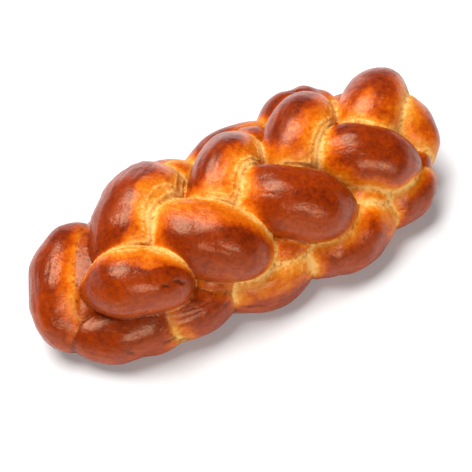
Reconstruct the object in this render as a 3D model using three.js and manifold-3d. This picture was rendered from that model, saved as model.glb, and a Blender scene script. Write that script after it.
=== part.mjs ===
// A braided loaf: one glazed plait of enriched dough, baked in one piece.
// Millimetres, +Z up. X runs along the loaf, Y across it.
// The origin is on the surface that the loaf rests on, under the middle of its length and width.
import * as THREE from "three";
import { mergeVertices } from "three/addons/utils/BufferGeometryUtils.js";
import Module from "manifold-3d";

// ---- Driving dimensions ----

// The strands swelled in the oven, so each stretch that shows is a plump hump.
// Two rows of humps meet at the top of the loaf, and one row on each side rests on the tray.
// rise and dive lead from a hump's crown to the places where it comes up and goes under.
// Each hump is its crown (along, across and up), its thickness, its stretch, the degrees that it is
// turned from its row, and how much fuller it is where it dives than where it rises.
const ROWS = {
  nearTop: {
    rise: [-27, 26, -9],
    dive: [31, -17, -17],
    humps: [
      [-87, -31, 60, 47, 0.74, 15, -0.11],
      [-32, -26, 62, 53, 1, -5, -0.05],
      [32, -28, 62, 50, 1.03, 0, 0.04],
      [98, -19, 59, 45, 0.9, 0, 0.03],
    ],
  },
  farTop: {
    rise: [-26, -24, -9],
    dive: [27, 21, -20],
    humps: [
      [-61, 20, 57, 58, 1.15, 0, 0.02],
      [7, 16, 60, 49, 1, 0, 0.04],
      [72, 21, 59, 48, 0.95, 0, 0.03],
      [129, 14, 54, 51, 0.95, 0, 0.02],
    ],
  },
  nearBase: {
    rise: [-28, 8, 2],
    dive: [28, 3, 2],
    humps: [
      [-96, -38, 21, 45, 1.4, -6, 0.05],
      [-56, -43, 22, 46, 1, 6, 0],
      [-1, -47, 21, 48, 1.1, 0, 0],
      [62, -48, 23, 53, 1.1, 0, 0],
      [115, -38, 23, 45, 0.8, 0, 0],
    ],
  },
  farBase: {
    rise: [-28, -8, 2],
    dive: [28, -3, 2],
    humps: [
      [-66, 34, 20, 45, 0.9, 0, 0],
      [-30, 48, 22, 49, 1.1, 0, 0],
      [33, 50, 22, 50, 1.1, 0, 0],
      [89, 52, 27, 49, 0.7, 0, 0],
      [124, 36, 20, 45, 0.9, 0, 0],
    ],
  },
};

// The strands that turn round the two ends of the loaf, high and low: start, crown and finish.
const END_TURNS = [
  { path: [[-99, 36, 39], [-129, 9, 37], [-139, -23, 20]], thick: 45 },
  { path: [[-110, 34, 22], [-127, 6, 20], [-126, -18, 21]], thick: 42 },
  { path: [[124, 16, 46], [144, -1, 44], [146, -22, 28]], thick: 44 },
  { path: [[132, 36, 22], [142, 6, 21], [134, -26, 21]], thick: 42 },
];

// The necks, where a strand dips between a top hump and a base hump.
const NECKS = [
  { path: [[-93, 33, 40], [-114, 4, 41], [-129, -18, 30]], thick: 34 },
  { path: [[-50, -34, 40], [-38, -40, 35], [-26, -44, 28]], thick: 30 },
  { path: [[6, -48, 34], [20, -43, 37], [34, -36, 40]], thick: 32 },
  { path: [[80, -42, 32], [92, -36, 37], [106, -28, 40]], thick: 30 },
  { path: [[132, -34, 26], [138, -28, 32], [142, -16, 34]], thick: 26 },
  { path: [[-34, 34, 36], [-22, 40, 38], [-8, 46, 28]], thick: 34 },
  { path: [[30, 34, 38], [42, 40, 40], [56, 46, 28]], thick: 34 },
  { path: [[90, 32, 38], [102, 38, 35], [114, 42, 28]], thick: 30 },
];

// The crumb that fills the loaf behind its humps: along the middle, and lower down each side.
const CRUMB = [
  { length: 246, thick: 62, across: 0, middle: 31 },
  { length: 242, thick: 46, across: -24, middle: 24 },
  { length: 214, thick: 46, across: 22, middle: 24 },
  { length: 264, thick: 44, across: 0, middle: 20 },
];

const TRAY = 3; // the dough settles this much, which presses its underside flat
const AROUND = 14; // flats round a hump
const ALONG = 10; // rings from end to end of a hump
const CAP = 4; // rings on each round end of the crumb
const BLUNT = 2.4; // 2 gives an ellipse, and more gives fuller shoulders
const TIP = 0.4; // thickness left at a hump's buried ends, as a share of its middle
const CRUST = { color: "#a4480f", roughness: 0.35, metalness: 0 };

// ---- Helpers ----

const wasm = await Module();
wasm.setup();

// A closed geometry as a solid that can be joined and cut.
function solidOf(geometry) {
  geometry.deleteAttribute("normal");
  geometry.deleteAttribute("uv");
  const merged = mergeVertices(geometry, 1e-3);
  return new wasm.Manifold(
    new wasm.Mesh({
      numProp: 3,
      vertProperties: new Float32Array(merged.attributes.position.array),
      triVerts: new Uint32Array(merged.index.array),
    }),
  );
}

// The solid's faces as a geometry again.
function geometryOf(solid) {
  const { numProp, vertProperties, triVerts } = solid.getMesh();
  const points = new Float32Array((vertProperties.length / numProp) * 3);
  for (let i = 0; i < points.length / 3; i++) {
    points.set(vertProperties.subarray(i * numProp, i * numProp + 3), i * 3);
  }
  const geometry = new THREE.BufferGeometry();
  geometry.setAttribute("position", new THREE.BufferAttribute(points, 3));
  geometry.setIndex(new THREE.BufferAttribute(new Uint32Array(triVerts), 1));
  geometry.computeVertexNormals();
  return geometry;
}

// ---- The pieces of dough ----

const UP = new THREE.Vector3(0, 0, 1);
const pointOf = (numbers) => new THREE.Vector3(...numbers);

// A sphere bent along the arc that starts, crowns and finishes at three points.
function hump([start, crown, finish], thick, fuller = 0) {
  const pull = crown.clone().multiplyScalar(2).addScaledVector(start, -0.5);
  pull.addScaledVector(finish, -0.5);
  const arc = new THREE.QuadraticBezierCurve3(start, pull, finish);
  const along = finish.clone().sub(start);
  const side = crown.clone().sub(start).cross(along).normalize().negate();

  const ball = new THREE.SphereGeometry(1, AROUND, ALONG);
  const spots = ball.attributes.position;
  const spot = new THREE.Vector3();
  for (let i = 0; i < spots.count; i++) {
    spot.fromBufferAttribute(spots, i);
    const ring = Math.hypot(spot.x, spot.z);
    const ends = Math.abs(spot.y) ** BLUNT * (1 - TIP ** 2);
    const full = (thick / 2) * Math.sqrt(1 - ends) * (1 + fuller * spot.y);
    const radius = ring < 1e-6 ? 0 : full / ring;
    const share = (1 + spot.y) / 2;
    const ahead = arc.getTangent(share);
    const out = new THREE.Vector3().crossVectors(side, ahead);
    const place = arc.getPoint(share);
    place.addScaledVector(side, spot.x * radius);
    place.addScaledVector(out, spot.z * radius);
    spots.setXYZ(i, place.x, place.y, place.z);
  }
  return solidOf(ball);
}

// All the humps of one row: each has the row's lean, turned a little about its own crown.
function humpsInRow({ rise, dive, humps }) {
  return humps.map(([along, across, up, thick, stretch, turn, fuller]) => {
    const crown = new THREE.Vector3(along, across, up);
    const angle = THREE.MathUtils.degToRad(turn);
    const [start, finish] = [rise, dive].map((lean) =>
      new THREE.Vector3(...lean).applyAxisAngle(UP, angle).multiplyScalar(stretch).add(crown),
    );
    return hump([start, crown, finish], thick, fuller);
  });
}

// A plain round-ended mass of crumb, lying along the loaf.
function crumb({ length, thick, across, middle }) {
  const straight = length - thick;
  const mass = new THREE.CapsuleGeometry(thick / 2, straight, CAP, AROUND + 4, 1);
  mass.rotateZ(Math.PI / 2);
  mass.translate(0, across, middle);
  return solidOf(mass);
}

// ---- The loaf ----

const dough = [
  ...Object.values(ROWS).flatMap(humpsInRow),
  ...[...END_TURNS, ...NECKS].map(({ path, thick }) => hump(path.map(pointOf), thick)),
  ...CRUMB.map(crumb),
];
const risen = dough.reduce((loaf, piece) => loaf.add(piece));

// The underside is flat where the dough lay on the tray.
const below = new THREE.BoxGeometry(1000, 1000, 200).translate(0, 0, TRAY - 100);
const baked = risen.subtract(solidOf(below));

// A pocket sealed between the humps would be crumb all through, so only the outer skin is kept.
const skins = baked.decompose();
const outside = skins.reduce((most, skin) => (skin.volume() > most.volume() ? skin : most));

const shape = geometryOf(outside);
shape.computeBoundingBox();
const middle = shape.boundingBox.getCenter(new THREE.Vector3());
shape.translate(-middle.x, -middle.y, -TRAY);

const loaf = new THREE.Mesh(shape, new THREE.MeshStandardMaterial(CRUST));
loaf.name = "braided_loaf";

const part = new THREE.Group();
part.add(loaf);

export default part;
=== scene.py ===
# %% [markdown]
# # A braided loaf
#
# This loaf is one piece of bread. Long ropes of enriched dough were plaited, brushed with beaten egg and
# baked until they fused, so the finished object is a single crust over a single crumb. What the eye reads
# is a row of plump humps: each is the stretch of a rope that lies on top before it dives under the next.
#
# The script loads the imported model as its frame, keeps its box, and builds a finer loaf in the same place.

# %% Load the frame and keep its box
import math

import bmesh
import bpy
import numpy as np
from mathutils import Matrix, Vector


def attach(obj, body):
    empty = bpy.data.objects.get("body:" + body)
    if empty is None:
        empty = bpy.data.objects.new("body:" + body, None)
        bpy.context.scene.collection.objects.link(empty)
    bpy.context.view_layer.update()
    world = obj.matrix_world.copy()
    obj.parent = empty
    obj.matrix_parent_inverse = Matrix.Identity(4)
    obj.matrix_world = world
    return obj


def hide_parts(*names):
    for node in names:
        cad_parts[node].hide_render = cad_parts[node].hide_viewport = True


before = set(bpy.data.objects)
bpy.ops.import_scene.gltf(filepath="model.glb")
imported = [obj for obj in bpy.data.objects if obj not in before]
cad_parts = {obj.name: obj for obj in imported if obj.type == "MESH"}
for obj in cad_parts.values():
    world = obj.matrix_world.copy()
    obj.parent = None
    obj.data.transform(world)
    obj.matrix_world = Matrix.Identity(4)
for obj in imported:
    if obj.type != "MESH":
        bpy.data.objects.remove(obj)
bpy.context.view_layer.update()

MM = 0.001

# %% [markdown]
# ## The camera
#
# The loaf is seen from well above and from the left, through a long lens that hardly changes the size of
# near and far humps. Its direction could be typed as three turns, but an angle round the loaf and one above
# the table are easier to picture. The aim is a point inside the loaf, nearer than its middle, so the loaf
# sits slightly high in the view.

# %% Camera
SEEN_FROM = -31.5  # degrees round from the loaf's near side
SEEN_ABOVE = 54.0  # degrees above the table
CAMERA_AWAY = 1400 * MM
LENS = 152.7  # millimetres
SENSOR = 36  # millimetres
AIM = Vector((-6.4, -11.6, 23.8)) * MM


def from_angles(turn, height):
    """The unit vector that points from the loaf towards a turn and a height in degrees."""
    a, e = math.radians(turn), math.radians(height)
    return Vector((math.sin(a) * math.cos(e), -math.cos(a) * math.cos(e), math.sin(e)))


camera = bpy.data.objects.new("camera", bpy.data.cameras.new("camera"))
bpy.context.scene.collection.objects.link(camera)
bpy.context.scene.camera = camera
towards_camera = from_angles(SEEN_FROM, SEEN_ABOVE)
camera.location = AIM + towards_camera * CAMERA_AWAY
camera.rotation_mode = "QUATERNION"
camera.rotation_quaternion = (-towards_camera).to_track_quat("-Z", "Y")
camera.data.lens = LENS
camera.data.sensor_width = SENSOR
camera.data.clip_start = 0.05
print("camera at", [round(v, 3) for v in camera.location])

# %% [markdown]
# ## The humps of dough
#
# Every hump follows a short arc: it rises from under a neighbour, crowns, and dives under the next one.
# Four rows make the loaf: two that meet along the top, and one along each base. All the humps of a row lean
# the same way. Two more turns of rope close each end, and short necks show where a rope dips between the top
# and the base. Each hump could be sculpted by hand, but a list of crowns is short, and the rule that turns it
# into humps is the one that the dough follows.
#
# In a row, rise and dive lead from a crown to the places where the rope comes up and goes under. A hump is
# its crown (along, across and up), its thickness, its stretch, the degrees that it is turned from its row,
# how much fuller it is where it dives than where it rises, and its four pale bands. An end turn or a neck is
# the start, crown and finish of its arc, its thickness and its pale bands.
#
# The egg wash never reached the dough that was tucked in a crease. The loaf then swelled and pulled those
# parts into view, so they stay pale. The four bands say how wide that pale dough is, in millimetres: where
# the rope rises, where it dives, and on its two flanks. The first flank is the one nearer the loaf's right
# end in the two top rows, and the lower one in the two base rows.

# %% Rows, end turns and necks, in millimetres
ROWS = {
    "near top": dict(
        rise=(-27, 26, -9),
        dive=(31, -17, -17),
        humps=[
            ((-87, -31, 60), 47, 0.74, 15, -0.11, (1.3, 1.8, 13, 0.8)),
            ((-32, -26, 62), 53, 1.0, -5, -0.05, (4, 4, 12, 0.9)),
            ((32, -28, 62), 50, 1.03, 0, 0.04, (7, 2.5, 0.9, 1.0)),
            ((98, -19, 59), 45, 0.9, 0, 0.03, (7, 2.5, 0.9, 4)),
        ],
    ),
    "far top": dict(
        rise=(-26, -24, -9),
        dive=(27, 21, -20),
        humps=[
            ((-61, 20, 57), 58, 1.15, 0, 0.02, (1.8, 5, 13, 0.9)),
            ((7, 16, 60), 49, 1.0, 0, 0.04, (6, 5, 9, 1)),
            ((72, 21, 59), 48, 0.95, 0, 0.03, (7, 5, 9, 1.2)),
            ((129, 14, 54), 51, 0.95, 0, 0.02, (8, 3, 4, 4)),
        ],
    ),
    "near base": dict(
        rise=(-28, 8, 2),
        dive=(28, 3, 2),
        humps=[
            ((-96, -38, 21), 45, 1.4, -6, 0.05, (1.2, 5, 1.5, 1)),
            ((-56, -43, 22), 46, 1.0, 6, 0, (6, 3, 1.5, 5)),
            ((-1, -47, 21), 48, 1.1, 0, 0, (1.3, 3.5, 2.2, 6)),
            ((62, -48, 23), 53, 1.1, 0, 0, (5, 8, 1.5, 3)),
            ((115, -38, 23), 45, 0.8, 0, 0, (5, 2.5, 1.5, 3)),
        ],
    ),
    "far base": dict(
        rise=(-28, -8, 2),
        dive=(28, -3, 2),
        humps=[
            ((-66, 34, 20), 45, 0.9, 0, 0, (3, 3, 3.5, 2)),
            ((-30, 48, 22), 49, 1.1, 0, 0, (4.5, 4, 3.5, 2)),
            ((33, 50, 22), 50, 1.1, 0, 0, (5, 3.5, 4, 2)),
            ((89, 52, 27), 49, 0.7, 0, 0, (3.5, 3.5, 2.5, 2)),
            ((124, 36, 20), 45, 0.9, 0, 0, (4, 2.5, 3.5, 2)),
        ],
    ),
}
TURNS = [
    (((-99, 36, 39), (-129, 9, 37), (-139, -23, 20)), 45, (1, 1, 2.8, 0.6)),
    (((-110, 34, 22), (-127, 6, 20), (-126, -18, 21)), 42, (2, 2, 2, 1.5)),
    (((124, 16, 46), (144, -1, 44), (146, -22, 28)), 44, (9, 3, 1, 5)),
    (((132, 36, 22), (142, 6, 21), (134, -26, 21)), 42, (2, 2, 1.5, 2)),
]
NECKS = [
    (((-93, 33, 40), (-114, 4, 41), (-129, -18, 30)), 34, (1.5, 1.5, 1.2, 1.4)),
    (((-50, -34, 40), (-38, -40, 35), (-26, -44, 28)), 30, (2, 2, 1.5, 1.5)),
    (((6, -48, 34), (20, -43, 37), (34, -36, 40)), 32, (2.4, 2.4, 2.4, 2.4)),
    (((80, -42, 32), (92, -36, 37), (106, -28, 40)), 30, (3, 3, 3, 3)),
    (((132, -34, 26), (138, -28, 32), (142, -16, 34)), 26, (1.5, 1.5, 1.5, 1.5)),
    (((-34, 34, 36), (-22, 40, 38), (-8, 46, 28)), 34, (4, 4, 4, 4)),
    (((30, 34, 38), (42, 40, 40), (56, 46, 28)), 34, (2, 2, 2, 2)),
    (((90, 32, 38), (102, 38, 35), (114, 42, 28)), 30, (4, 4, 4, 4)),
]
print(sum(len(row["humps"]) for row in ROWS.values()), "humps,", len(TURNS), "turns,", len(NECKS), "necks")

# %% The crumb behind the humps: half its length, where it is across and up, and its thickness
CRUMB = [
    ((92, 0, 31), 62),
    ((98, -24, 24), 46),
    ((84, 22, 24), 46),
    ((110, 0, 20), 44),
]
TRAY = 3.0  # the dough settled this much on its tray
BLUNT = 2.4  # 2 gives an ellipse, and more gives fuller shoulders
TIP = 0.4  # thickness at a hump's buried ends, as a share of its middle
print(len(CRUMB), "ropes of crumb")

# %% One hump, with its arc, thickness and pale bands
STEPS = 40  # to measure an arc's length


class Hump:
    """One stretch of rope: its arc, its thickness and its pale bands, all in metres."""

    def __init__(self, path, thick, pale=(0, 0, 0, 0), fuller=0, tip=TIP):
        start, crown, finish = (np.array(point, float) * MM for point in path)
        pull = 2 * crown - (start + finish) / 2
        self.bends = start, pull, finish
        self.half = thick * MM / 2
        self.pale = np.array(pale, float) * MM
        self.fuller, self.tip = fuller, tip
        side = np.cross(finish - start, crown - start)
        length = np.linalg.norm(side)
        side = side / length if length > 1e-9 else np.array((0.0, 1.0, 0.0))
        self.side = side if side[0] >= 0 else -side
        steps = np.diff(self.at(np.linspace(0, 1, STEPS)), axis=0)
        self.length = np.linalg.norm(steps, axis=1).sum()

    def at(self, share):
        """Points on the arc at these shares of its way, from 0 to 1."""
        share = np.asarray(share)[..., None]
        start, pull, finish = self.bends
        return (1 - share) ** 2 * start + 2 * share * (1 - share) * pull + share**2 * finish

    def radius(self, share):
        """The rope's radius at these shares of its way."""
        way = 2 * np.asarray(share) - 1
        ends = np.abs(way) ** BLUNT
        return self.half * np.sqrt(1 - ends * (1 - self.tip**2)) * (1 + self.fuller * way)


def humps_in_row(row):
    """The humps of a row: each has the row's lean, turned a little about its own crown."""
    made = []
    for crown, thick, stretch, turn, fuller, pale in row["humps"]:
        c, s = math.cos(math.radians(turn)), math.sin(math.radians(turn))
        turned = np.array(((c, -s, 0), (s, c, 0), (0, 0, 1))) * stretch
        start = crown + turned @ row["rise"]
        finish = crown + turned @ row["dive"]
        made.append(Hump((start, crown, finish), thick, pale, fuller))
    return made


# %% Every hump of the loaf
humps = [hump for row in ROWS.values() for hump in humps_in_row(row)]
humps += [Hump(path, thick, pale) for path, thick, pale in TURNS + NECKS]
strands = len(humps)
for (half, across, up), thick in CRUMB:
    path = ((-half, across, up), (0, across, up), (half, across, up))
    humps.append(Hump(path, thick, tip=1.0))
print(strands, "humps and", len(humps) - strands, "ropes of crumb")

# %% [markdown]
# ## Rising: ropes into one body
#
# Dough swells evenly, so a hump is a string of balls whose size follows a rule: full in the middle and
# smaller at its buried ends. Geometry Nodes suit that well. The tree takes the arcs as plain edges, turns
# them into curves, sets the radius along each from the rule, and puts a ball at every point. Joining the
# ropes with booleans would leave hard seams, so a distance field joins the balls instead. Its surface is one
# closed skin, and the few pockets sealed inside it are deleted afterwards.

# %% The crust's material, filled in later
crust = bpy.data.materials.new("egg_washed_crust")
print("material:", crust.name)

# %% A helper that adds a node, with its settings and its links
def add(tree, kind, inputs=(), **settings):
    """Add a node and give its first output. An input is a value, or the output that feeds it."""
    node = tree.nodes.new(kind)
    for name, value in settings.items():
        setattr(node, name, value)
    for socket, value in dict(inputs).items():
        if isinstance(value, bpy.types.NodeSocket):
            tree.links.new(value, node.inputs[socket])
        else:
            node.inputs[socket].default_value = value
    return next((output for output in node.outputs if output.enabled), node)


# %% The arcs as an object made of edges
POINTS_ON_ARC = 48

path_points = []
path_edges = []
path_numbers = {"thick": [], "tip": [], "fuller": []}
for hump in humps:
    first = len(path_points)
    path_points += list(hump.at(np.linspace(0, 1, POINTS_ON_ARC)))
    path_edges += [(first + i, first + i + 1) for i in range(POINTS_ON_ARC - 1)]
    path_numbers["thick"] += [hump.half * 2] * POINTS_ON_ARC
    path_numbers["tip"] += [hump.tip] * POINTS_ON_ARC
    path_numbers["fuller"] += [hump.fuller] * POINTS_ON_ARC

path_mesh = bpy.data.meshes.new("dough_paths")
path_mesh.from_pydata([tuple(point) for point in path_points], path_edges, [])
for name, numbers in path_numbers.items():
    path_mesh.attributes.new(name, "FLOAT", "POINT").data.foreach_set("value", numbers)
paths = bpy.data.objects.new("dough_paths", path_mesh)
bpy.context.scene.collection.objects.link(paths)
print(len(path_points), "points on", len(humps), "arcs")

# %% The tree that makes ropes and joins them: its inputs
VOXEL = 1.55 * MM  # one step of the grid that the distance field fills

rise = bpy.data.node_groups.new("risen_dough", "GeometryNodeTree")
rise.interface.new_socket("Arcs", in_out="INPUT", socket_type="NodeSocketGeometry")
rise.interface.new_socket("Bluntness", in_out="INPUT", socket_type="NodeSocketFloat")
rise.interface.new_socket("Voxel", in_out="INPUT", socket_type="NodeSocketFloat")
rise.interface.new_socket("Dough", in_out="OUTPUT", socket_type="NodeSocketGeometry")

given = add(rise, "NodeGroupInput").node.outputs
thick = add(rise, "GeometryNodeInputNamedAttribute", {"Name": "thick"})
tip = add(rise, "GeometryNodeInputNamedAttribute", {"Name": "tip"})
fuller = add(rise, "GeometryNodeInputNamedAttribute", {"Name": "fuller"})
share = add(rise, "GeometryNodeSplineParameter")
print("inputs of", rise.name, "ready")

# %% The thickness along a rope
way = add(rise, "ShaderNodeMath", {0: share, 1: 2.0, 2: -1.0}, operation="MULTIPLY_ADD")
off_middle = add(rise, "ShaderNodeMath", {0: way}, operation="ABSOLUTE")
ends = add(rise, "ShaderNodeMath", {0: off_middle, 1: given["Bluntness"]}, operation="POWER")
tip_area = add(rise, "ShaderNodeMath", {0: tip, 1: tip}, operation="MULTIPLY")
taper = add(rise, "ShaderNodeMath", {0: 1.0, 1: tip_area}, operation="SUBTRACT")
lost = add(rise, "ShaderNodeMath", {0: ends, 1: taper}, operation="MULTIPLY")
left = add(rise, "ShaderNodeMath", {0: 1.0, 1: lost}, operation="SUBTRACT")
rounding = add(rise, "ShaderNodeMath", {0: left}, operation="SQRT")
lean = add(rise, "ShaderNodeMath", {0: fuller, 1: way, 2: 1.0}, operation="MULTIPLY_ADD")
shape = add(rise, "ShaderNodeMath", {0: rounding, 1: lean}, operation="MULTIPLY")
half = add(rise, "ShaderNodeMath", {0: thick, 1: 0.5}, operation="MULTIPLY")
radius = add(rise, "ShaderNodeMath", {0: half, 1: shape}, operation="MULTIPLY")
print(rise.name, "has", len(rise.nodes), "nodes so far")

# %% Ropes, balls and one skin
curves = add(rise, "GeometryNodeMeshToCurve", {"Mesh": given["Arcs"]})
ropes = add(rise, "GeometryNodeSetCurveRadius", {"Curve": curves, "Radius": radius})
balls = add(rise, "GeometryNodeCurveToPoints", {"Curve": ropes}, mode="EVALUATED")
size = add(rise, "GeometryNodeInputRadius")
voxel = given["Voxel"]
field = add(rise, "GeometryNodePointsToSDFGrid", {"Points": balls, "Radius": size, "Voxel Size": voxel})
skin = add(rise, "GeometryNodeGridToMesh", {"Grid": field, "Adaptivity": 0.0})
real = add(rise, "GeometryNodeRealizeInstances", {"Geometry": skin})
coated = add(rise, "GeometryNodeSetMaterial", {"Geometry": real, "Material": crust})
add(rise, "NodeGroupOutput", {"Dough": coated})
print(rise.name, "has", len(rise.nodes), "nodes")

# %% Run the tree, and keep its result as a plain mesh
def socket_id(tree, name):
    """The identifier of a tree's input, which a modifier needs in place of its name."""
    return next(item.identifier for item in tree.interface.items_tree if item.name == name)


def baked_mesh(thing):
    """What an object's modifiers make of it, as a plain mesh."""
    graph = bpy.context.evaluated_depsgraph_get()
    return bpy.data.meshes.new_from_object(thing.evaluated_get(graph), depsgraph=graph)


def keep_outside(mesh):
    """Delete any pocket sealed inside: only what joins up with the outermost point is kept."""
    skin = bmesh.new()
    skin.from_mesh(mesh)
    outermost = max(skin.verts, key=lambda point: point.co.x)
    outermost.tag = True
    spreading = [outermost]
    while spreading:
        for edge in spreading.pop().link_edges:
            for point in edge.verts:
                if not point.tag:
                    point.tag = True
                    spreading.append(point)
    inside = [point for point in skin.verts if not point.tag]
    bmesh.ops.delete(skin, geom=inside, context="VERTS")
    skin.to_mesh(mesh)
    skin.free()
    return len(inside)


modifier = paths.modifiers.new("risen_dough", "NODES")
modifier.node_group = rise
modifier[socket_id(rise, "Bluntness")] = BLUNT
modifier[socket_id(rise, "Voxel")] = VOXEL
loaf_mesh = baked_mesh(paths)
loaf_mesh.name = "braided_loaf_crust"
paths.modifiers.remove(modifier)
bpy.data.objects.remove(paths)
print("points in sealed pockets, now gone:", keep_outside(loaf_mesh))
print("skin of", len(loaf_mesh.vertices), "points and", len(loaf_mesh.polygons), "faces")

# %% [markdown]
# ## The skin's exact shape
#
# The grid leaves small steps in the skin, and a glossy crust would show each of them. The humps are a
# formula, so every point can be slid onto the exact surface. A smoothing modifier would do it with less
# work, but it would also soften the creases.
#
# No two humps of real bread are alike, so a few slow waves, drawn with a fixed seed, swell and hollow each
# hump's surface a little. The same sums tell each point which hump it lies on, how far it is from the crease
# with the next one, and where it is along and across its hump. Those numbers drive the wrinkles and the
# colours later.

# %% Slow waves in each hump's surface
WAVES = 4
WAVE_SHORTEST, WAVE_LONGEST = 20, 52  # millimetres from crest to crest
WAVE_HEIGHT = 0.45 * MM
WAVE_SEED = 11

draw = np.random.default_rng(WAVE_SEED)
wave_ways = draw.normal(size=(len(humps), WAVES, 3))
wave_ways /= np.linalg.norm(wave_ways, axis=2, keepdims=True)
wave_lengths = draw.uniform(WAVE_SHORTEST, WAVE_LONGEST, size=(len(humps), WAVES, 1)) * MM
wave_ways *= 2 * math.pi / wave_lengths
wave_starts = draw.uniform(0, 2 * math.pi, size=(len(humps), WAVES))
print("waves, mm:", np.round(np.percentile(wave_lengths / MM, (0, 50, 100)), 1))

# %% Measure points against the humps
FAR = 50 * MM  # the depth given to a hump that is not near
NEAR = 12 * MM  # a hump is measured this far past its surface
BALLS = 33  # places along an arc where the search for the nearest one starts


def measure(points, hump):
    """For points near a hump: height over its surface, way along (0 to 1) and direction out of it."""
    shares = np.linspace(0, 1, BALLS)
    reach = points[:, None, :] - hump.at(shares)[None, :, :]
    heights = np.linalg.norm(reach, axis=2) - hump.radius(shares)
    each = np.arange(len(points))
    near = np.clip(heights.argmin(1), 1, BALLS - 2)
    before, here, after = (heights[each, near + step] for step in (-1, 0, 1))
    bend = np.maximum(before - 2 * here + after, 1e-9)
    slide = np.clip(0.5 * (before - after) / bend, -1, 1)
    share = np.clip((near + slide) / (BALLS - 1), 0, 1)
    reach = points - hump.at(share)
    away = np.linalg.norm(reach, axis=1)
    return away - hump.radius(share), share, reach / away[:, None]


def survey(points):
    """For every hump and point: the point's height over the hump, way along it and direction out of it."""
    depth = np.full((len(humps), len(points)), FAR)
    share = np.zeros((len(humps), len(points)))
    normal = np.zeros((len(humps), len(points), 3))
    for k, hump in enumerate(humps):
        middle = hump.at(0.5)
        reach = hump.length / 2 + hump.half + NEAR
        close = np.flatnonzero(np.linalg.norm(points - middle, axis=1) < reach)
        depth[k, close], share[k, close], normal[k, close] = measure(points[close], hump)
        waves = np.sin(points[close] @ wave_ways[k].T + wave_starts[k])
        depth[k, close] -= WAVE_HEIGHT * waves.sum(1)
    return depth, share, normal


# %% Slide every point onto the exact surface
FILLET = 0.9 * MM  # how softly two humps run into each other
SLIDES = 4
SETTLED = 0.1 * MM

points = np.empty(len(loaf_mesh.vertices) * 3)
loaf_mesh.vertices.foreach_get("co", points)
points = points.reshape(-1, 3)
for _ in range(SLIDES):
    depth, share, normal = survey(points)
    weight = np.exp(-(depth - depth.min(0)) / FILLET)
    total = weight.sum(0)
    over = depth.min(0) - FILLET * np.log(total)
    points -= over[:, None] * (weight[:, :, None] * normal).sum(0) / total[:, None]
print("slid by at most", round(float(np.abs(over).max() / MM), 3), "mm in the last step")
print("not settled:", int((np.abs(over) > SETTLED).sum()))

# %% Which hump each point lies on, and how far it is from the crease
depth, share, normal = survey(points)
order = np.argsort(depth[:strands], axis=0)
own, neighbour = order[0], order[1]
each = np.arange(len(points))
crease = np.maximum(depth[neighbour, each] - depth[own, each], 0)
print("from the crease, mm:", np.round(np.percentile(crease / MM, (5, 50, 95)), 1))

# %% The pale band at each point
BAND_BLEND = 0.8 * MM  # two humps' bands run into each other over about this far
CLOSED_BELOW = 6 * MM  # near the tray the dough could not open, so bands narrow there
OPEN_RISE = 24 * MM
LEAST_OPEN = 0.3


def band_of(number):
    """The pale band's width at every point on the hump with this number, and the point's place there.

    The place is how far the surface faces the hump's side, and the way along, both from -1 to 1.
    """
    sides = np.array([hump.side for hump in humps])[number]
    bands = np.array([hump.pale for hump in humps])[number]
    ahead = (normal[number, each] * sides).sum(1)
    ways = 2 * share[number, each] - 1
    pulls = np.clip(np.stack([-ways, ways, ahead, -ahead]), 0, 1) ** 2 + 1e-3
    return (pulls * bands.T).sum(0) / pulls.sum(0), ahead, ways


band, ahead, ways = band_of(own)
next_band = band_of(neighbour)[0]
mixed = 0.5 * np.exp(-crease / BAND_BLEND)
band = band * (1 - mixed) + next_band * mixed
band *= np.clip((points[:, 2] - CLOSED_BELOW) / OPEN_RISE, LEAST_OPEN, 1)
print("pale bands, mm:", np.round(np.percentile(band / MM, (5, 50, 95)), 1))

# %% Keep the skin, with what was measured at each point
lengths = np.array([hump.length for hump in humps])[own]
halves = np.array([hump.half for hump in humps])[own]
along = ways * lengths / 2
across = np.arcsin(np.clip(ahead, -1, 1)) * halves
loaf_mesh.vertices.foreach_set("co", points.ravel())
loaf_mesh.polygons.foreach_set("use_smooth", [True] * len(loaf_mesh.polygons))


def keep(name, numbers):
    """Store one number for each point of the skin."""
    loaf_mesh.attributes.new(name, "FLOAT", "POINT").data.foreach_set("value", np.array(numbers, "f"))


measures = {"band": band, "crease": crease, "along": along, "across": across, "hump": own}
for name, numbers in measures.items():
    keep(name, numbers)
print("kept at each point:", ", ".join(measures))

# %% [markdown]
# ## Tears
#
# Where the skin set before the dough stopped rising, it tore. A tear is a short dark slit with ragged
# ends. Tears could be scattered at random, but there are few of them and each has its place, so they stay a
# list: the hump's number, where the slit is along and across it, its length and width, and its turn in
# degrees from the hump's own direction. Lengths are in millimetres.

# %% Tears in the skin
TEARS = [
    (0, 12, -7, 5, 1.2, -14),
    (0, 6, -10, 3, 1.0, 25),
    (8, -8, -12, 6, 0.9, 60),
    (8, 14, -10, 8, 0.8, 15),
    (8, 22, -7, 5, 0.7, -20),
    (9, -12, 4, 8, 0.8, -20),
    (10, -10, -8, 7, 0.8, 10),
]
RAGGED = 0.5  # how far a slit wanders, as a share of its width
WANDERS = 7  # how often it wanders
SHARP = 8  # how suddenly it ends

torn = np.zeros(len(points))
for number, at_along, at_across, long, wide, turn in TEARS:
    c, s = math.cos(math.radians(turn)), math.sin(math.radians(turn))
    u = along / MM - at_along
    v = across / MM - at_across
    down_slit = (c * u + s * v) / long
    over_slit = (c * v - s * u + RAGGED * wide * np.sin(down_slit * WANDERS)) / wide
    slit = np.exp(-(down_slit**4) * SHARP - over_slit**2) * (own == number)
    torn = np.maximum(torn, slit)
keep("torn", torn)
print("tears:", len(TEARS))

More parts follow.
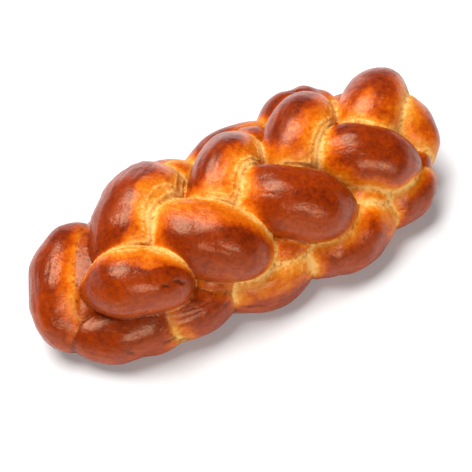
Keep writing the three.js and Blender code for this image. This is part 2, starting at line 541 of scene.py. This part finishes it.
# %% [markdown]
# ## Relief
#
# A baked skin is never smooth. It has broad lumps, finer ripples, wrinkles that run along the rope where it
# was rolled, ridges beside a crease where the dough stretched, and small pores where the egg wash missed. A
# bump in the material would only shade these, and their outlines would stay smooth. So a second tree lifts
# each point along its normal. Every noise takes its size from millimetres, and sizes and heights are the
# tree's named inputs.

# %% The tree that raises lumps, wrinkles and ridges: its inputs
def per_mm(size):
    """A noise scale, in Blender's units, that gives patches about this many millimetres wide."""
    return 1 / (size * MM)


RELIEF = {
    "Lump scale": per_mm(34),
    "Lump height": 2.2 * MM,
    "Ripple scale": per_mm(8),
    "Ripple height": 0.8 * MM,
    "Wrinkle length": 22 * MM,
    "Wrinkle width": 2.6 * MM,
    "Wrinkle height": 1.4 * MM,
    "Patch scale": per_mm(26),
    "Wander scale": per_mm(12),
    "Ridges in a band": 2.1,
    "Ridge height": 1.2 * MM,
    "Pore scale": per_mm(3.2),
    "Pore depth": 0.55 * MM,
    "Crease depth": 0.4 * MM,
    "Tear depth": 1.2 * MM,
}

relief = bpy.data.node_groups.new("baked_relief", "GeometryNodeTree")
relief.interface.new_socket("Skin", in_out="INPUT", socket_type="NodeSocketGeometry")
for name in RELIEF:
    relief.interface.new_socket(name, in_out="INPUT", socket_type="NodeSocketFloat")
relief.interface.new_socket("Relief", in_out="OUTPUT", socket_type="NodeSocketGeometry")

given = add(relief, "NodeGroupInput").node.outputs
place = add(relief, "GeometryNodeInputPosition")
measured = {}
for name in (*measures, "torn"):
    measured[name] = add(relief, "GeometryNodeInputNamedAttribute", {"Name": name})
print("relief inputs:", ", ".join(RELIEF))

# %% Lumps and ripples
lump_scale, ripple_scale = given["Lump scale"], given["Ripple scale"]
lumps = add(relief, "ShaderNodeTexNoise", {"Vector": place, "Scale": lump_scale, "Detail": 1.0})
ripples = add(relief, "ShaderNodeTexNoise", {"Vector": place, "Scale": ripple_scale, "Detail": 2.0})
lumps = add(relief, "ShaderNodeMath", {0: lumps, 1: 0.5}, operation="SUBTRACT")
ripples = add(relief, "ShaderNodeMath", {0: ripples, 1: 0.5}, operation="SUBTRACT")
lift = add(relief, "ShaderNodeMath", {0: lumps, 1: given["Lump height"]}, operation="MULTIPLY")
height = given["Ripple height"]
lift = add(relief, "ShaderNodeMath", {0: ripples, 1: height, 2: lift}, operation="MULTIPLY_ADD")
print(relief.name, "has", len(relief.nodes), "nodes so far")

# %% Wrinkles that run along the rope
NOISE_APART = 7.3  # how far apart in the noise two humps are, so that they don't share wrinkles
LEAST_WRINKLED = 0.1  # what is left of the wrinkles on the smooth patches

long, wide = given["Wrinkle length"], given["Wrinkle width"]
lengthwise = add(relief, "ShaderNodeMath", {0: measured["along"], 1: long}, operation="DIVIDE")
sideways = add(relief, "ShaderNodeMath", {0: measured["across"], 1: wide}, operation="DIVIDE")
apart = add(relief, "ShaderNodeMath", {0: measured["hump"], 1: NOISE_APART}, operation="MULTIPLY")
rope_place = add(relief, "ShaderNodeCombineXYZ", {"X": lengthwise, "Y": sideways, "Z": apart})
wrinkles = add(relief, "ShaderNodeTexNoise", {"Vector": rope_place, "Scale": 1.0, "Detail": 1.0})
wrinkles = add(relief, "ShaderNodeMath", {0: wrinkles, 1: 0.5}, operation="SUBTRACT")
patch_scale = given["Patch scale"]
patches = add(relief, "ShaderNodeTexNoise", {"Vector": place, "Scale": patch_scale, "Detail": 0.0})
# A map range reads a value, the two ends that it maps from, and the two that it maps to.
wrinkled = add(relief, "ShaderNodeMapRange", {0: patches, 1: 0.45, 2: 0.62, 3: LEAST_WRINKLED, 4: 1.0})
wrinkles = add(relief, "ShaderNodeMath", {0: wrinkles, 1: wrinkled}, operation="MULTIPLY")
height = given["Wrinkle height"]
lift = add(relief, "ShaderNodeMath", {0: wrinkles, 1: height, 2: lift}, operation="MULTIPLY_ADD")
print(relief.name, "has", len(relief.nodes), "nodes so far")

# %% Ridges beside a wide pale crease
RIDGE_WANDER = 0.45  # how far a ridge wanders, as a share of the way to the next
RIDGE_THIN = 2.5  # over 1 makes ridges thinner than the hollows between them

stretched = add(relief, "ShaderNodeMath", {0: measured["crease"], 1: measured["band"]}, operation="DIVIDE")
wander_scale, count = given["Wander scale"], given["Ridges in a band"]
wander = add(relief, "ShaderNodeTexNoise", {"Vector": place, "Scale": wander_scale, "Detail": 2.0})
wander = add(relief, "ShaderNodeMath", {0: wander, 1: RIDGE_WANDER}, operation="MULTIPLY")
phase = add(relief, "ShaderNodeMath", {0: stretched, 1: count, 2: wander}, operation="MULTIPLY_ADD")
phase = add(relief, "ShaderNodeMath", {0: phase, 1: 2 * math.pi}, operation="MULTIPLY")
wave = add(relief, "ShaderNodeMath", {0: phase}, operation="COSINE", use_clamp=True)
wave = add(relief, "ShaderNodeMath", {0: wave, 1: RIDGE_THIN}, operation="POWER")
print(relief.name, "has", len(relief.nodes), "nodes so far")

# %% Ridges only in wide bands and on top of the loaf
WIDE_FROM, WIDE_TO = 3 * MM, 8 * MM  # a band this wide begins to have ridges, and has them all
TOP_FROM, TOP_TO = 34 * MM, 48 * MM  # and so does one this high

beside = add(relief, "ShaderNodeMapRange", {0: stretched, 1: 0.9, 2: 1.3, 3: 1.0, 4: 0.0})
wide = add(relief, "ShaderNodeMapRange", {0: measured["band"], 1: WIDE_FROM, 2: WIDE_TO})
above_tray = add(relief, "ShaderNodeSeparateXYZ", {0: place}).node.outputs["Z"]
on_top = add(relief, "ShaderNodeMapRange", {0: above_tray, 1: TOP_FROM, 2: TOP_TO})
ridge = add(relief, "ShaderNodeMath", {0: wave, 1: beside}, operation="MULTIPLY")
ridge = add(relief, "ShaderNodeMath", {0: ridge, 1: wide}, operation="MULTIPLY")
ridge = add(relief, "ShaderNodeMath", {0: ridge, 1: on_top}, operation="MULTIPLY")
height = given["Ridge height"]
lift = add(relief, "ShaderNodeMath", {0: ridge, 1: height, 2: lift}, operation="MULTIPLY_ADD")
print(relief.name, "has", len(relief.nodes), "nodes so far")

# %% Pores, the groove of a crease, and tears
GROOVE_WIDE = 1.6 * MM

pore_scale = given["Pore scale"]
pores = add(relief, "ShaderNodeTexNoise", {"Vector": place, "Scale": pore_scale, "Detail": 2.0})
pores = add(relief, "ShaderNodeMapRange", {0: pores, 1: 0.5, 2: 0.3, 3: 0.0, 4: -1.0})
pores = add(relief, "ShaderNodeMath", {0: pores, 1: beside}, operation="MULTIPLY")
pores = add(relief, "ShaderNodeMath", {0: pores, 1: wide}, operation="MULTIPLY")
height = given["Pore depth"]
lift = add(relief, "ShaderNodeMath", {0: pores, 1: height, 2: lift}, operation="MULTIPLY_ADD")
from_crease = measured["crease"]
groove = add(relief, "ShaderNodeMapRange", {0: from_crease, 1: 0.0, 2: GROOVE_WIDE, 3: -1.0, 4: 0.0})
height = given["Crease depth"]
lift = add(relief, "ShaderNodeMath", {0: groove, 1: height, 2: lift}, operation="MULTIPLY_ADD")
slit = add(relief, "ShaderNodeMath", {0: measured["torn"], 1: -1.0}, operation="MULTIPLY")
height = given["Tear depth"]
lift = add(relief, "ShaderNodeMath", {0: slit, 1: height, 2: lift}, operation="MULTIPLY_ADD")
print(relief.name, "has", len(relief.nodes), "nodes so far")

# %% Lift the points, and close the tree
outwards = add(relief, "GeometryNodeInputNormal")
offset = add(relief, "ShaderNodeVectorMath", {0: outwards, "Scale": lift}, operation="SCALE")
raised = add(relief, "GeometryNodeSetPosition", {"Geometry": given["Skin"], "Offset": offset})
ridged = {"Geometry": raised, "Name": "ridge", "Value": ridge}
raised = add(relief, "GeometryNodeStoreNamedAttribute", ridged)
real = add(relief, "GeometryNodeRealizeInstances", {"Geometry": raised})
coated = add(relief, "GeometryNodeSetMaterial", {"Geometry": real, "Material": crust})
add(relief, "NodeGroupOutput", {"Relief": coated})
print(relief.name, "has", len(relief.nodes), "nodes")

# %% Run the tree, and keep its result as a plain mesh too
blank = bpy.data.objects.new("smooth_loaf", loaf_mesh)
bpy.context.scene.collection.objects.link(blank)
modifier = blank.modifiers.new("baked_relief", "NODES")
modifier.node_group = relief
for name, amount in RELIEF.items():
    modifier[socket_id(relief, name)] = amount
crust_mesh = baked_mesh(blank)
blank.modifiers.remove(modifier)
bpy.data.objects.remove(blank)
print("relief on", len(crust_mesh.vertices), "points")

# %% Flatten the underside and centre the loaf over the origin
low, high = points.min(0), points.max(0)
middle = np.array(((low[0] + high[0]) / 2, (low[1] + high[1]) / 2, TRAY * MM))
raised_points = np.empty(len(crust_mesh.vertices) * 3)
crust_mesh.vertices.foreach_get("co", raised_points)
raised_points = raised_points.reshape(-1, 3)
moved = float(np.abs(raised_points - points).max() / MM)
print("relief moved a point by at most", round(moved, 2), "mm")
raised_points[:, 2] = np.maximum(raised_points[:, 2], TRAY * MM)
raised_points -= middle
crust_mesh.vertices.foreach_set("co", raised_points.ravel())
crust_mesh.update()
crust_mesh.name = "braided_loaf_crust"
loaf = bpy.data.objects.new("braided_loaf_crust", crust_mesh)
bpy.context.scene.collection.objects.link(loaf)
print("centre moved by", np.round(middle / MM, 2), "mm")

# %% [markdown]
# ## The crust
#
# Egg-washed crust is a brown, slightly translucent skin under a thin glaze of dried egg. The sugar and egg
# brown most on the crowns, which face the heat, and least beside the creases, which the dough opened late.
#
# A painted image would need unwrapping, and it would blur up close. Here one number, bake, says how much each
# spot browned, and a ramp turns it into colour. Bake grows with the way from the crease, counted in widths of
# the pale band there. Clouds and mottle stir it. A hump's downward-facing sides bake less and come out paler,
# partly because sheltered sides browned less and partly as painted light from the front. Tight creases and
# tears are painted darker, as painted shade. The glaze gives soft warm highlights on the brown crowns, and the
# pale bands have hardly any, so they look dry.

# %% Colours, and what the material reads from the skin
def linear(code):
    """A colour given as an sRGB hex code, as linear red, green, blue and alpha."""
    parts = [int(code[i : i + 2], 16) / 255 for i in (1, 3, 5)]
    return [p / 12.92 if p <= 0.04045 else ((p + 0.055) / 1.055) ** 2.4 for p in parts] + [1.0]


crust.use_nodes = True
tree = crust.node_tree
shader = tree.nodes["Principled BSDF"]
seen = {}
for name in ("band", "crease", "ridge", "torn"):
    seen[name] = add(tree, "ShaderNodeAttribute", attribute_name=name).node.outputs["Fac"]
where = add(tree, "ShaderNodeTexCoord").node.outputs["Object"]
print("the crust reads:", ", ".join(seen))

# %% Clouds and mottle
CLOUD_WIDE = 20  # millimetres: the oven's heat and the brushed egg are both uneven
MOTTLE_WIDE = 3.6  # millimetres: the egg wash dries in small freckles

cloudy = {"Vector": where, "Scale": per_mm(CLOUD_WIDE), "Detail": 2.0}
freckled = {"Vector": where, "Scale": per_mm(MOTTLE_WIDE), "Detail": 4.0, "Roughness": 0.7}
clouds = add(tree, "ShaderNodeTexNoise", cloudy)
mottle = add(tree, "ShaderNodeTexNoise", freckled)
clouds = add(tree, "ShaderNodeMath", {0: clouds, 1: 0.5}, operation="SUBTRACT")
mottled = add(tree, "ShaderNodeMath", {0: mottle, 1: 0.5}, operation="SUBTRACT")
print("crust:", len(tree.nodes), "nodes so far")

# %% The way from the crease, in widths of the pale band
STIR_MOTTLE = 1.3
STIR_CLOUDS = 1.2
STIR_RIDGE = -0.8  # a ridge in the band stays as pale as the crease

away = add(tree, "ShaderNodeMath", {0: seen["crease"], 1: seen["band"]}, operation="DIVIDE")
away = add(tree, "ShaderNodeMath", {0: mottled, 1: STIR_MOTTLE, 2: away}, operation="MULTIPLY_ADD")
away = add(tree, "ShaderNodeMath", {0: clouds, 1: STIR_CLOUDS, 2: away}, operation="MULTIPLY_ADD")
away = add(tree, "ShaderNodeMath", {0: seen["ridge"], 1: STIR_RIDGE, 2: away}, operation="MULTIPLY_ADD")
print("crust:", len(tree.nodes), "nodes so far")

# %% How much each spot browned, with painted light on the downward-facing sides
EDGE_BAKE = 0.44  # gained over the pale band and half as far again
CROWN_BAKE = 0.46  # gained from there to the crown
BARE_BAND, OPEN_BAND = 1.0 * MM, 3.0 * MM  # a band this narrow never opened, and this wide did
UNOPENED_BAKE = 0.86
# The bake taken off the downward-facing sides: partly less browning, partly painted light.
SHELTER_AND_PAINTED_LIGHT = -0.14

edge = add(tree, "ShaderNodeMapRange", {0: away, 1: 0.0, 2: 1.5, 3: 0.0, 4: EDGE_BAKE})
to_crown = {0: away, 1: 0.9, 2: 4.2, 3: 0.0, 4: CROWN_BAKE}
crown = add(tree, "ShaderNodeMapRange", to_crown, interpolation_type="SMOOTHSTEP")
bake = add(tree, "ShaderNodeMath", {0: edge, 1: crown}, operation="ADD")
closed = {0: seen["band"], 1: BARE_BAND, 2: OPEN_BAND, 3: 1.0, 4: 0.0}
narrow = add(tree, "ShaderNodeMapRange", closed)
bake = add(tree, "ShaderNodeMix", {"Factor": narrow, 2: bake, 3: UNOPENED_BAKE})
bake = add(tree, "ShaderNodeMath", {0: clouds, 1: 0.3, 2: bake}, operation="MULTIPLY_ADD")
bake = add(tree, "ShaderNodeMath", {0: mottled, 1: 0.52, 2: bake}, operation="MULTIPLY_ADD")
up = add(tree, "ShaderNodeNewGeometry").node.outputs["Normal"]
up = add(tree, "ShaderNodeSeparateXYZ", {0: up}).node.outputs["Z"]
# Downward-facing sides get less bake and so a paler colour: partly real, as sheltered sides browned less, and
# partly painted light standing in for the front lamp's fill.
shelter_and_painted_light = add(tree, "ShaderNodeMapRange", {0: up, 1: 0.85, 2: -0.2, 3: 0.0, 4: SHELTER_AND_PAINTED_LIGHT})
bake = add(tree, "ShaderNodeMath", {0: bake, 1: shelter_and_painted_light}, operation="ADD", use_clamp=True)
print("crust:", len(tree.nodes), "nodes so far")

# %% Brown from bake
BROWNING = [
    (0.0, "#dfa95f"),
    (0.12, "#d78f3a"),
    (0.28, "#cb7213"),
    (0.44, "#c46004"),
    (0.6, "#ae4602"),
    (0.78, "#8e2e01"),
    (1.0, "#5b1402"),
]
ramp = add(tree, "ShaderNodeValToRGB", {"Fac": bake}).node
for spot, code in BROWNING[1:-1]:
    ramp.color_ramp.elements.new(spot).color = linear(code)
for end, (spot, code) in ((0, BROWNING[0]), (-1, BROWNING[-1])):
    ramp.color_ramp.elements[end].position = spot
    ramp.color_ramp.elements[end].color = linear(code)
print(len(BROWNING), "browns")

# %% Painted shade: darker in a tight crease and in the tears, where shade falls
PAINTED_CREASE_SHADE = "#3a0c02"
PAINTED_SHADE_WIDE = 3.0 * MM

# Painted shade: the colour is mixed towards a dark brown near a tight crease and in a tear, most where the
# band never opened, where the loaf lies in shade.
crease_shade = add(tree, "ShaderNodeMapRange", {0: seen["crease"], 1: 0.0, 2: PAINTED_SHADE_WIDE, 3: 1.5, 4: 0.0})
broken = add(tree, "ShaderNodeMapRange", {0: mottled, 1: 0.02, 2: 0.12, 3: 0.0, 4: 0.3})
broken = add(tree, "ShaderNodeMath", {0: narrow, 1: 0.42, 2: broken}, operation="MULTIPLY_ADD")
dark = add(tree, "ShaderNodeMath", {0: crease_shade, 1: broken}, operation="MULTIPLY")
torn_too = {0: seen["torn"], 1: 0.9, 2: dark}
dark = add(tree, "ShaderNodeMath", torn_too, operation="MULTIPLY_ADD", use_clamp=True)
darkened = {"Factor": dark, 6: ramp.outputs[0], 7: linear(PAINTED_CREASE_SHADE)}
colour = add(tree, "ShaderNodeMix", darkened, data_type="RGBA")
tree.links.new(colour.node.outputs[2], shader.inputs["Base Color"])
print("crust:", len(tree.nodes), "nodes so far")

# %% Gloss, translucence and grain
GLAZED, DRY = 0.3, 0.6  # roughness of brown egg-washed crust and of bare pale dough
COAT = 0.08  # dried egg is thin, so the clear coat is too
GRAIN_WIDE = 1.6  # millimetres: real grain is finer, and would not show

# Dried egg glaze: its tinted, soft-edged reflection makes the brown crust look warm and lacquered.
pale = add(tree, "ShaderNodeMapRange", {0: bake, 1: 0.1, 2: 0.5, 3: 1.0, 4: 0.0})
rough = add(tree, "ShaderNodeMapRange", {0: pale, 1: 0.0, 2: 1.0, 3: GLAZED, 4: DRY})
rough = add(tree, "ShaderNodeMath", {0: mottled, 1: 0.25, 2: rough}, operation="MULTIPLY_ADD")
glaze = add(tree, "ShaderNodeMapRange", {0: pale, 1: 0.0, 2: 1.0, 3: COAT, 4: 0.0})
tree.links.new(rough, shader.inputs["Roughness"])
tree.links.new(glaze, shader.inputs["Coat Weight"])
shader.inputs["Coat Roughness"].default_value = 0.2
shader.inputs["Specular Tint"].default_value = linear("#ffcb9c")
shader.inputs["IOR"].default_value = 1.44
# Crumb lets red light through a little, which softens the shading and keeps the pale bands glowing.
shader.inputs["Subsurface Weight"].default_value = 0.15
shader.inputs["Subsurface Radius"].default_value = (1.0, 0.35, 0.12)
shader.inputs["Subsurface Scale"].default_value = 4 * MM
grain = add(tree, "ShaderNodeTexNoise", {"Vector": where, "Scale": per_mm(GRAIN_WIDE), "Detail": 3.0})
bumpy = add(tree, "ShaderNodeBump", {"Height": grain, "Distance": 0.4 * MM, "Strength": 0.6})
tree.links.new(bumpy, shader.inputs["Normal"])
tree.links.new(bumpy, shader.inputs["Coat Normal"])
print("crust:", len(tree.nodes), "nodes")

# %% [markdown]
# ## The table and the light
#
# The loaf lies on a plain pale table that is large enough for its edge to stay out of sight. A matte white
# board gives soft grey shadows and bounces a little light under the loaf. Two large soft lights do the rest:
# a strong one overhead and behind, which puts the long highlights on the crowns, and a weaker one in front.
# Spot lights would be simpler, but their small hard highlights would make the crust look wet.

# %% The table
TABLE_HALF = 8  # metres

floor_mesh = bpy.data.meshes.new("floor")
corners = [(x * TABLE_HALF, y * TABLE_HALF, 0) for x, y in ((-1, -1), (1, -1), (1, 1), (-1, 1))]
floor_mesh.from_pydata(corners, [], [(0, 1, 2, 3)])
floor = bpy.data.objects.new("floor", floor_mesh)
bpy.context.scene.collection.objects.link(floor)
# Matte white board: rough, so it mirrors nothing, and the loaf stands out by its colour alone.
white = bpy.data.materials.new("white_table")
white.use_nodes = True
board = white.node_tree.nodes["Principled BSDF"]
board.inputs["Base Color"].default_value = linear("#dadada")
board.inputs["Roughness"].default_value = 0.9
floor_mesh.materials.append(white)
print("table:", 2 * TABLE_HALF, "metres square")

# %% The lights
LIGHTS_AWAY = 4.2  # metres


def softbox(name, turn, height, width, tall, watts):
    """A soft light that faces the loaf from a turn and a height in degrees."""
    lamp = bpy.data.lights.new(name, "AREA")
    lamp.shape = "RECTANGLE"
    lamp.size, lamp.size_y = width, tall
    lamp.energy = watts
    holder = bpy.data.objects.new(name, lamp)
    bpy.context.scene.collection.objects.link(holder)
    direction = from_angles(turn, height)
    holder.location = direction * LIGHTS_AWAY
    holder.rotation_mode = "QUATERNION"
    holder.rotation_quaternion = direction.to_track_quat("Z", "Y")
    print(name, "light:", watts, "watts")


softbox("overhead", -158, 66, 3.5, 2.6, 365)
softbox("front", -8, 30, 2.4, 1.5, 115)

# %% The room, which fills the shadows a little
world = bpy.data.worlds.new("white_room")
bpy.context.scene.world = world
world.use_nodes = True
room = world.node_tree.nodes["Background"]
room.inputs["Color"].default_value = (1, 1, 1, 1)
room.inputs["Strength"].default_value = 0.06
bpy.context.scene.view_settings.view_transform = "Standard"
print("room light:", round(room.inputs["Strength"].default_value, 3))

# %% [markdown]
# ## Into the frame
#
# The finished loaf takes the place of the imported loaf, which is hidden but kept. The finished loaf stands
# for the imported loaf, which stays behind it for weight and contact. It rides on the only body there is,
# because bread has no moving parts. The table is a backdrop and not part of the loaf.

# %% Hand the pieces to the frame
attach(loaf, "root")
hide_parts("braided_loaf")
print("pieces: braided_loaf_crust, in place of braided_loaf")
